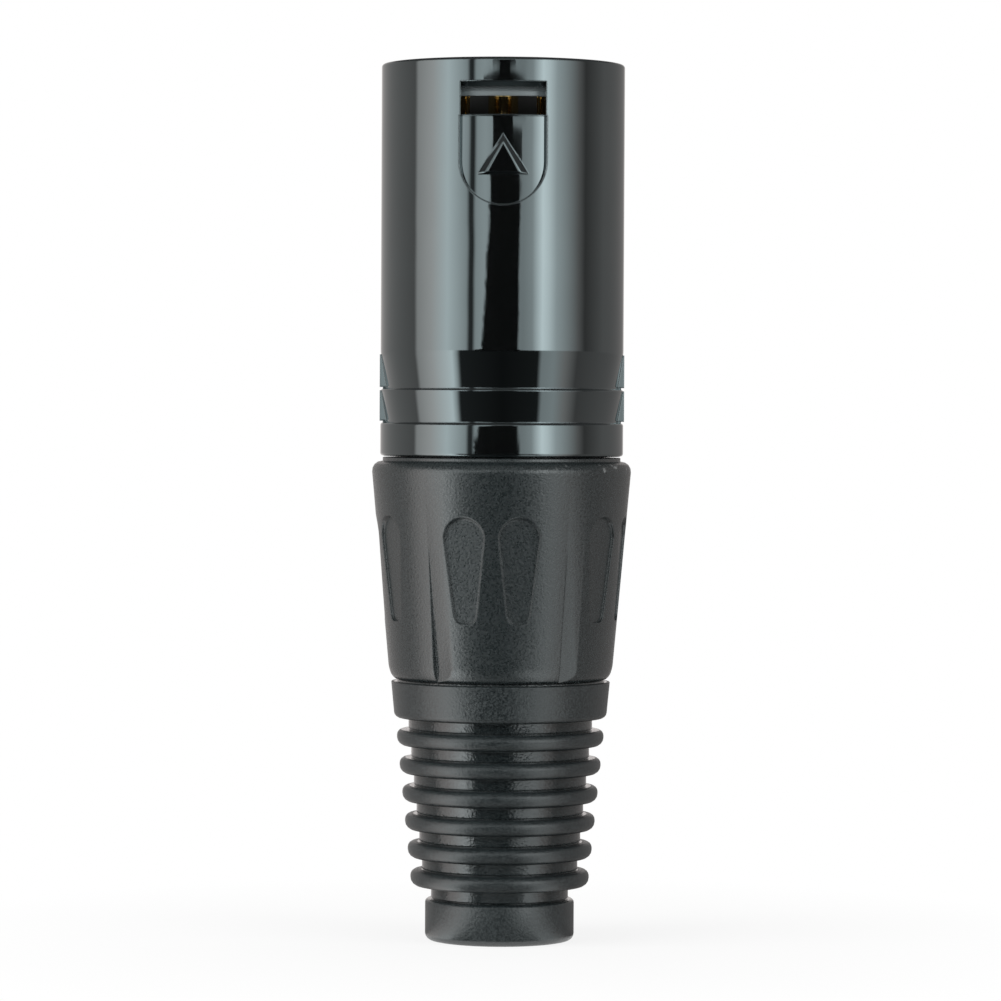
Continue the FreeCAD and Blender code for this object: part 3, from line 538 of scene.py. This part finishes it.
def shell():
    """The die casting: barrel, window, pad and triangle, three stepped bands, ledge and bores."""
    corners = [
        (SHELL_RADIUS, SHELL_REAR, 0.22),
        (SHELL_RADIUS, LOW_STEP, 0.20),
        (STEP_RADIUS, LOW_STEP, 0),
        (STEP_RADIUS, LOW_STEP + 0.12, 0),
        (SHELL_RADIUS, HIGH_STEP, 0.20),
        (STEP_RADIUS, HIGH_STEP, 0),
        (STEP_RADIUS, HIGH_STEP + 0.12, 0),
        (SHELL_RADIUS, BAND_TOP, 0.30),
        (SHELL_RADIUS, RIM, 0.24),
        (MOUTH_BORE, RIM, 0.24),
        (MOUTH_BORE, INSERT_FACE, 0),
        (LEDGE_BORE, INSERT_FACE, 0.08),
        (LEDGE_BORE, LEDGE_BOTTOM, 0),
        (REAR_BORE, LEDGE_BOTTOM, 0),
        (REAR_BORE, THREAD_BORE_END, 0),
        (THREAD_BORE, THREAD_BORE_END, 0),
        (THREAD_BORE, SHELL_REAR + 0.25, 0),
        (THREAD_BORE + 0.25, SHELL_REAR, 0),
    ]
    rib_levels = ((40.62, 43.0), (43.25, 45.8))
    piece = link("shell_casting", spun(corners))
    combine(piece, [window_cutter(), pad_cutter()])
    key = mouth_key()
    ribs = [side_rib(low, high, side) for low, high in rib_levels for side in (0, 180)]
    combine(piece, [raised_triangle(), key, *ribs], "UNION")
    crease(piece)
    true_walls(piece)
    settle(piece, "shell_group", "black_chrome", "shell", material=CHROME)


def shell_thread():
    """The shell's inner thread, with the chuck's two keyways cut through it."""
    half_width, reach = 1.15, 9
    piece = link("shell_thread", thread(8.40, -THREAD_HEIGHT, turns=4.9))
    keyways = prism(rectangle(-reach, -half_width, reach, half_width), 8.0)
    combine(piece, [link("keyways", moved(keyways, Matrix.Translation((0, 0, 0.041))))])
    crease(piece)
    settle(piece, "shell_group", "black_chrome", material=CHROME)


# The bushing

def bushing_radius(height):
    """The bushing's plain outside at that height above its foot."""
    return BUSHING_LOW + (BUSHING_HIGH - BUSHING_LOW) * height / (BUSHING_TOP - BUSHING_BOTTOM)


def drop_outline(rise):
    """A drop's outline at its floor, 0, and where its drafted walls end outside, 1."""
    centre = 6.57
    wide, tall, half = 1.60 + 0.22 * rise, 1.44 + 0.62 * rise, 0.84 + 0.20 * rise
    outline = [(wide * cos(a), centre + tall * sin(a)) for a in [i * pi / 32 for i in range(33)]]
    for side in (-1, 1):
        bottom = [(half + 0.04, 0.62), (half - 0.05, 0.34), (half - 0.21, 0.13), (half - 0.45, 0.0)]
        outline += [(side * x, y) for x, y in (bottom if side < 0 else reversed(bottom))]
    return outline


def drop_cutter(turn):
    """A drop that opens outwards from its own flat floor, most at its round top."""
    foot, top = 4.66, 12.91
    foot_depth, top_depth = 0.18, 0.35
    clear = 0.9
    low = bushing_radius(foot) - foot_depth
    high = bushing_radius(top) - top_depth
    lean = atan2(high - low, top - foot)
    bm = bmesh.new()
    loops = []
    for rise in (0, 1):
        ring = [bm.verts.new((x * MM, y * MM, clear * rise * MM)) for x, y in drop_outline(rise)]
        loops.append([bm.edges.new((ring[i - 1], ring[i])) for i in range(len(ring))])
    bmesh.ops.bridge_loops(bm, edges=loops[0] + loops[1])
    bmesh.ops.holes_fill(bm, edges=loops[0] + loops[1], sides=len(loops[0]))
    stand = facing_front(low * MM, (BUSHING_BOTTOM + foot) * MM)
    whole = Matrix.Rotation(turn, 4, "Z") @ stand @ Matrix.Rotation(lean, 4, "X")
    return link("drop", moved(bm, whole))


def flute_cutter(turn):
    """A flute with one steep and one shallow side that runs out of the foot and fades upwards."""
    length = 10.6
    depth = 0.36
    outside = -1.2
    low = bushing_radius(0) - depth
    lean = atan2(bushing_radius(length) - low, length)
    section = [(0, 0), (2.4, -0.295), (2.4, outside), (-0.32, outside)]
    bm = moved(prism(section, 24.0), Matrix.Translation((0, 0, 0.002)))
    stand = Matrix.Translation((0, -low * MM, BUSHING_BOTTOM * MM)) @ Matrix.Rotation(lean, 4, "X")
    return link("flute", moved(bm, Matrix.Rotation(turn, 4, "Z") @ stand))


def bushing():
    """The moulding with its drops, flutes, nose and bores, and the thread on its nose."""
    corners = [
        (8.23, BUSHING_BOTTOM, 0.10),
        (8.56, BUSHING_BOTTOM + 0.29, 0.25),
        (bushing_radius(0.97), BUSHING_BOTTOM + 0.97, 0.25),
        (BUSHING_HIGH, BUSHING_TOP, 0.85),
        (SHOULDER_RADIUS, BUSHING_TOP, 0.04),
        (SHOULDER_RADIUS, BUSHING_TOP + 0.30, 0.05),
        (NOSE_RADIUS, BUSHING_TOP + 0.30, 0),
        (NOSE_RADIUS, NOSE_END, 0.40),
        (NOSE_BORE, NOSE_END, 0.10),
        (NOSE_BORE, FINGER_SHOULDER, 0),
        (5.55, THROAT_TOP, 0),
        (THROAT_BORE, THROAT_TOP, 0.10),
        (THROAT_BORE, SLEEVE_TOP, 0),
        (BOOT_SOCKET, SLEEVE_TOP, 0),
        (BOOT_SOCKET, BUSHING_BOTTOM, 0.10),
    ]
    piece = link("bushing_moulding", spun(corners))
    lobe = radians(360 / LOBES)
    drops = [drop_cutter(LOBE_TURN + i * lobe + side * DROP_SPREAD) for i in range(LOBES) for side in (-1, 1)]
    flutes = [flute_cutter(radians(turn)) for turn in FLUTE_TURNS]
    combine(piece, drops + flutes)
    crease(piece, 24.0)
    settle(piece, "bushing_group", "bushing", "bushing", material=BUSHING_PLASTIC)
    ridge = link("bushing_thread", thread(7.90, THREAD_HEIGHT, turns=4.5))
    crease(ridge)
    settle(ridge, "bushing_group", "bushing", material=BUSHING_PLASTIC)


# The boot

def boot():
    """The soft boot: an end cap, six ribs that grow upwards, a collar and a sleeve with the cable's bore."""
    cap, cap_top = 5.83, 3.25
    root = 5.37
    corners = [
        (4.15, 0, 0),
        (cap, 0, 0.55),
        (cap, cap_top, 0.30),
        (5.19, cap_top, 0),
        (5.19, 3.31, 0),
        (root, 3.35, 0.03),
    ]
    first_rib, pitch, growth = 4.24, 2.20, 0.22
    notch = 0.08
    for rib in range(6):
        low = first_rib + pitch * rib
        radius = 6.99 + growth * rib
        corners += [(root, low, 0.10), (radius, low, 0.66), (radius, low + 1.27, 0.45)]
        root = 6.09 + growth * rib
        corners += [(root - notch, low + 1.27, 0), (root - notch, low + 1.32, 0), (root, low + 1.36, 0.03)]
    sleeve = 6.60
    lip_top = BUSHING_BOTTOM - 0.01
    corners += [
        (root, COLLAR_BOTTOM, 0.12),
        (8.29, COLLAR_BOTTOM, 0.42),
        (8.56, COLLAR_TOP, 0.06),
        (8.12, COLLAR_TOP, 0),
        (8.06, lip_top, 0),
        (sleeve, lip_top, 0),
        (sleeve, SLEEVE_TOP, 0.2),
        (CABLE_BORE, SLEEVE_TOP, 0.1),
        (CABLE_BORE, 0.40, 0),
    ]
    piece = link("boot_moulding", spun(corners, 192))
    crease(piece)
    settle(piece, "bushing_group", "boot", "boot", material=BOOT_RUBBER)


# The contacts

def contact(name, x, y, turn):
    """A turned contact with a rounded tip and a solder cup opened towards the outside."""
    cup_bore, body, collar, pin = 1.00, 1.40, 1.60, 1.20
    cup_rim, cup_floor = 42.90, 46.20
    collar_bottom, collar_top = 48.60, 49.60
    tip = 66.85
    corners = [
        (cup_bore, cup_rim, 0),
        (body, cup_rim, 0.05),
        (body, collar_bottom, 0),
        (collar, collar_bottom, 0.05),
        (collar, collar_top, 0.05),
        (body, collar_top, 0),
        (body, INSERT_FACE, 0),
        (pin, INSERT_FACE, 0),
        (pin, tip, 0.72),
        (0.02, tip, 0),
        (0.02, cup_floor, 0),
        (cup_bore, cup_floor, 0),
    ]
    piece = link(name + "_turned", spun(corners, 64))
    opening = prism(rectangle(0.25, -1.7, 1.7, 1.7), 2.7)
    combine(piece, [link("opening", moved(opening, Matrix.Translation((0, 0, 0.04395))))])
    piece.data.transform(Matrix.Translation((x * MM, y * MM, 0)) @ Matrix.Rotation(radians(turn), 4, "Z"))
    crease(piece)
    settle(piece, "shell_group", "contact", name, material=GOLD)


shell()
bushing()
boot()
contact("pin_1", 3.81, 0, 0)
contact("pin_2", -3.81, 0, 180)
contact("pin_3", 0, 3.81, 90)
shell_thread()
for node, material in (("insert", INSULATOR), ("ground_spring", BRONZE), ("chuck", ACETAL)):
    kept = frame["nodes"][node]
    kept.data.materials.clear()
    kept.data.materials.append(material)


# Studio, in metres

# Brightness of what the gloss mirrors, by bearing from the lens in degrees: walls with a softbox on each
# side, the ground further off, and the ground close to the plug
WALL_LIGHT = [
    (-180, 0.36), (-160, 0.20), (-120, 0.15), (-91, 0.11), (-87, 0.36), (-70, 0.50), (-53, 0.70), (-34, 0.39),
    (-31, 0.04), (-28, 0.03), (-25, 0.40), (-17, 0.46), (0, 0.34), (19, 0.29), (28, 0.38), (38, 0.97),
    (44, 0.82), (52, 0.50), (76, 0.14), (84, 0.05), (110, 0.115), (160, 0.12), (180, 0.36),
]
GROUND_LIGHT = [
    (-180, 0.36), (-150, 0.20), (-120, 0.15), (-91, 0.11), (-87, 0.35), (-70, 0.52), (-48, 0.80), (-43, 0.40),
    (-40, 0.02), (0, 0.008), (34, 0.015), (38, 0.30), (50, 0.34), (62, 0.22), (76, 0.07), (110, 0.10),
    (160, 0.12), (180, 0.36),
]
CLOSE_LIGHT = [
    (-180, 0.36), (-150, 0.20), (-120, 0.15), (-91, 0.11), (-87, 0.35), (-70, 0.55), (-48, 1.00), (-37, 0.60),
    (-33, 0.02), (0, 0.004), (15, 0.015), (21, 0.36), (46, 0.48), (62, 0.24), (76, 0.07), (110, 0.10),
    (160, 0.12), (180, 0.36),
]
CEILING_LIGHT = (0.05, 0.05, 0.05)
SURROUND_STRENGTH = 2.5
SOFTBOX_TINT = (0.93, 1.0, 1.01)
SOFTBOX_HALF = 62
WALL_TINT = (1.04, 0.985, 0.965)
AMBIENT_LIGHT = (0.15, 0.15, 0.15)
LAMP_TARGET = (0, 0, 0.03)

# The dark screen's outline above its toothed sides: half width and level in millimetres
SCREEN_RIGHT = [
    (136, 81.5), (149, 82.6), (149, 89.5), (76, 90.5), (70, 94), (180, 95.5), (180, 98.7), (50, 99.4),
    (50, 100.1), (92, 100.9), (84, 190),
]
SCREEN_LEFT = [
    (103, 81.5), (80, 84), (78, 90), (66, 94), (150, 95.5), (150, 98.7), (26, 99.4), (26, 100.1),
    (80, 100.9), (72, 190),
]


def ray_is_seen(tree):
    """1 for what the camera sees, straight or by way of a mirror or glass."""
    rays = tree.nodes.new("ShaderNodeLightPath")
    total = rays.outputs["Is Camera Ray"]
    for other in ("Is Glossy Ray", "Is Transmission Ray"):
        total = maths(tree, "MAXIMUM", total, rays.outputs[other])
    return total


def world():
    """White where it is seen, and a dim even light on the plug."""
    room = bpy.data.worlds.new("room")
    bpy.context.scene.world = room
    room.use_nodes = True
    tree = room.node_tree
    sky = tree.nodes["Background"]
    tree.links.new(between(tree, ray_is_seen(tree), AMBIENT_LIGHT, (1, 1, 1)), sky.inputs["Color"])


def floor():
    """A pale floor that is seen as white, but for the plug's shadow close to it."""
    bm = bmesh.new()
    bmesh.ops.create_circle(bm, cap_ends=True, segments=96, radius=6.0)
    ground = link("floor", bm)
    material, tree, shader, place = new_material("pale floor")
    shader.inputs["Roughness"].default_value = 0.9
    shader.inputs["Specular IOR Level"].default_value = 0.0
    tint = add_noise(tree, place, 30.0)
    tree.links.new(between(tree, tint, (0.90, 0.90, 0.90), (0.92, 0.92, 0.92)), shader.inputs["Base Color"])
    white = tree.nodes.new("ShaderNodeEmission")
    white.inputs["Strength"].default_value = 1.0
    spread = remap(tree, from_axis(tree, place), 0.010, 0.05, 0.85, 1.0)
    both = tree.nodes.new("ShaderNodeMixShader")
    tree.links.new(maths(tree, "MULTIPLY", spread, ray_is_seen(tree)), both.inputs["Fac"])
    tree.links.new(shader.outputs["BSDF"], both.inputs[1])
    tree.links.new(white.outputs["Emission"], both.inputs[2])
    tree.links.new(both.outputs["Shader"], tree.nodes["Material Output"].inputs["Surface"])
    ground.data.materials.append(material)
    ground.visible_glossy = False


def bearing_ramp(tree, bearing, stops):
    """Brightness by bearing about the axis, in degrees from -Y, positive towards +X."""
    ramp = tree.nodes.new("ShaderNodeValToRGB")
    bands = ramp.color_ramp.elements
    while len(bands) < len(stops):
        bands.new(0.5)
    for band, (degrees, level) in zip(bands, stops):
        band.position = (degrees + 180) / 360
        tint = SOFTBOX_TINT if abs(degrees) < SOFTBOX_HALF else WALL_TINT
        band.color = (*(level * part for part in tint), 1)
    tree.links.new(bearing, ramp.inputs["Fac"])
    return ramp.outputs["Color"]


def only_mirrored(piece):
    """Part of the studio that shows in gloss alone."""
    for view in ("camera", "diffuse", "shadow", "transmission"):
        setattr(piece, "visible_" + view, False)


def toothed_side(lower, upper, bend, drift, tooth):
    """A screen's side: it steps in once, drifts in or out above the bend, and has small teeth."""
    step_level = 36
    least_drift = -85
    side = []
    for index in range(82):
        level = -60 + 1.7 * index
        width = (upper if level > step_level else lower) + max(least_drift, drift * max(0, level - bend))
        side.append((width + tooth * (-1) ** index, level))
    return side


def dark_screen():
    """The unlit shape round the lens, which the barrel's front mirrors as its black streak."""
    right = toothed_side(134, 117, bend=50, drift=0.5, tooth=9) + SCREEN_RIGHT
    left = toothed_side(216, 187, bend=37, drift=-2.3, tooth=12) + SCREEN_LEFT
    outline = right + [(-x, z) for x, z in reversed(left)]
    bm = moved(prism(outline, 2.0), Matrix.Rotation(pi / 2, 4, "X"))
    screen = link("dark_screen", moved(bm, Matrix.Translation((0, -0.45, 0))))
    material, tree, shader, place = new_material("dark screen")
    shader.inputs["Roughness"].default_value = 0.9
    shade = between(tree, add_noise(tree, place, 20.0), (0.010, 0.010, 0.010), (0.022, 0.022, 0.022))
    tree.links.new(shade, shader.inputs["Base Color"])
    screen.data.materials.append(material)
    only_mirrored(screen)


def surround():
    """What the gloss mirrors: walls with a softbox on each side, a darker ground and a dim ceiling."""
    inner, outer = 0.006, 0.70
    ground_level, ceiling_level = 0.0003, 0.80
    bm = bmesh.new()
    corners = ((inner, ground_level), (outer, ground_level), (outer, ceiling_level), (0.01, ceiling_level))
    section = [bm.verts.new((x, 0, z)) for x, z in corners]
    for first, second in zip(section, section[1:]):
        bm.edges.new((first, second))
    bmesh.ops.spin(
        bm, geom=bm.verts[:] + bm.edges[:], cent=(0, 0, 0), axis=(0, 0, 1), dvec=(0, 0, 0), angle=2 * pi,
        space=Matrix(), steps=120, use_merge=True, use_normal_flip=False, use_duplicate=False,
    )
    tent = link("surround", bm)
    material = bpy.data.materials.new("softboxes and walls")
    material.use_nodes = True
    tree = material.node_tree
    tree.nodes.clear()
    place = tree.nodes.new("ShaderNodeTexCoord").outputs["Object"]
    split = tree.nodes.new("ShaderNodeSeparateXYZ")
    tree.links.new(place, split.inputs["Vector"])
    level = split.outputs["Z"]
    towards_lens = maths(tree, "MULTIPLY", split.outputs["Y"], -1.0)
    angle = maths(tree, "ARCTAN2", split.outputs["X"], towards_lens)
    bearing = remap(tree, angle, -pi, pi, 0.0, 1.0)
    walls = bearing_ramp(tree, bearing, WALL_LIGHT)
    ground = bearing_ramp(tree, bearing, GROUND_LIGHT)
    close = bearing_ramp(tree, bearing, CLOSE_LIGHT)
    away = from_axis(tree, place)
    off_centre = remap(tree, away, 0.03, 0.07, 0.80, 1.0)
    past_foot = remap(tree, away, 0.028, 0.036, 0.0, 1.0)
    further_off = remap(tree, away, 0.066, 0.080, 0.0, 1.0)
    above_ground = remap(tree, level, 0.001, 0.02, 0.0, 1.0)
    near_ceiling = remap(tree, level, 0.34, 0.42, 0.0, 1.0)
    light = between(tree, off_centre, walls, ground)
    light = between(tree, past_foot, light, close)
    light = between(tree, further_off, light, ground)
    light = between(tree, above_ground, light, walls)
    light = between(tree, near_ceiling, light, CEILING_LIGHT)
    glow = tree.nodes.new("ShaderNodeEmission")
    tree.links.new(light, glow.inputs["Color"])
    glow.inputs["Strength"].default_value = SURROUND_STRENGTH
    out = tree.nodes.new("ShaderNodeOutputMaterial")
    tree.links.new(glow.outputs["Emission"], out.inputs["Surface"])
    tent.data.materials.append(material)
    only_mirrored(tent)


def lamp(name, place, size, power):
    """A soft lamp aimed at the plug, which no gloss mirrors."""
    light = bpy.data.lights.new(name, "AREA")
    light.shape = "RECTANGLE"
    light.size, light.size_y = size
    light.energy = power
    body = bpy.data.objects.new(name, light)
    body.location = place
    body.rotation_euler = (Vector(LAMP_TARGET) - Vector(place)).to_track_quat("-Z", "Z").to_euler()
    body.visible_glossy = False
    bpy.context.scene.collection.objects.link(body)


def camera():
    """The photo's view: almost level, from in front and slightly above the middle."""
    lens = bpy.data.cameras.new("photo camera")
    lens.lens = 171.62
    lens.sensor_width = 36.0
    lens.clip_start = 0.01
    eye = bpy.data.objects.new("photo camera", lens)
    bpy.context.scene.collection.objects.link(eye)
    downwards, roll = 1.163, 0.28
    place = (-0.00007, -0.3735, 0.042)
    turn = Matrix.Rotation(radians(90 - downwards), 4, "X") @ Matrix.Rotation(radians(roll), 4, "Z")
    eye.matrix_world = Matrix.Translation(place) @ turn
    bpy.context.scene.camera = eye


world()
floor()
surround()
dark_screen()
lamp("left lamp", (-0.60, -0.35, 0.30), size=(0.5, 0.6), power=6.0)
lamp("right lamp", (0.60, -0.45, 0.30), size=(0.4, 0.6), power=4.0)
lamp("top lamp", (0, 0.1, 0.8), size=(0.6, 0.6), power=0.8)
camera()
bpy.context.scene.view_settings.view_transform = "Standard"
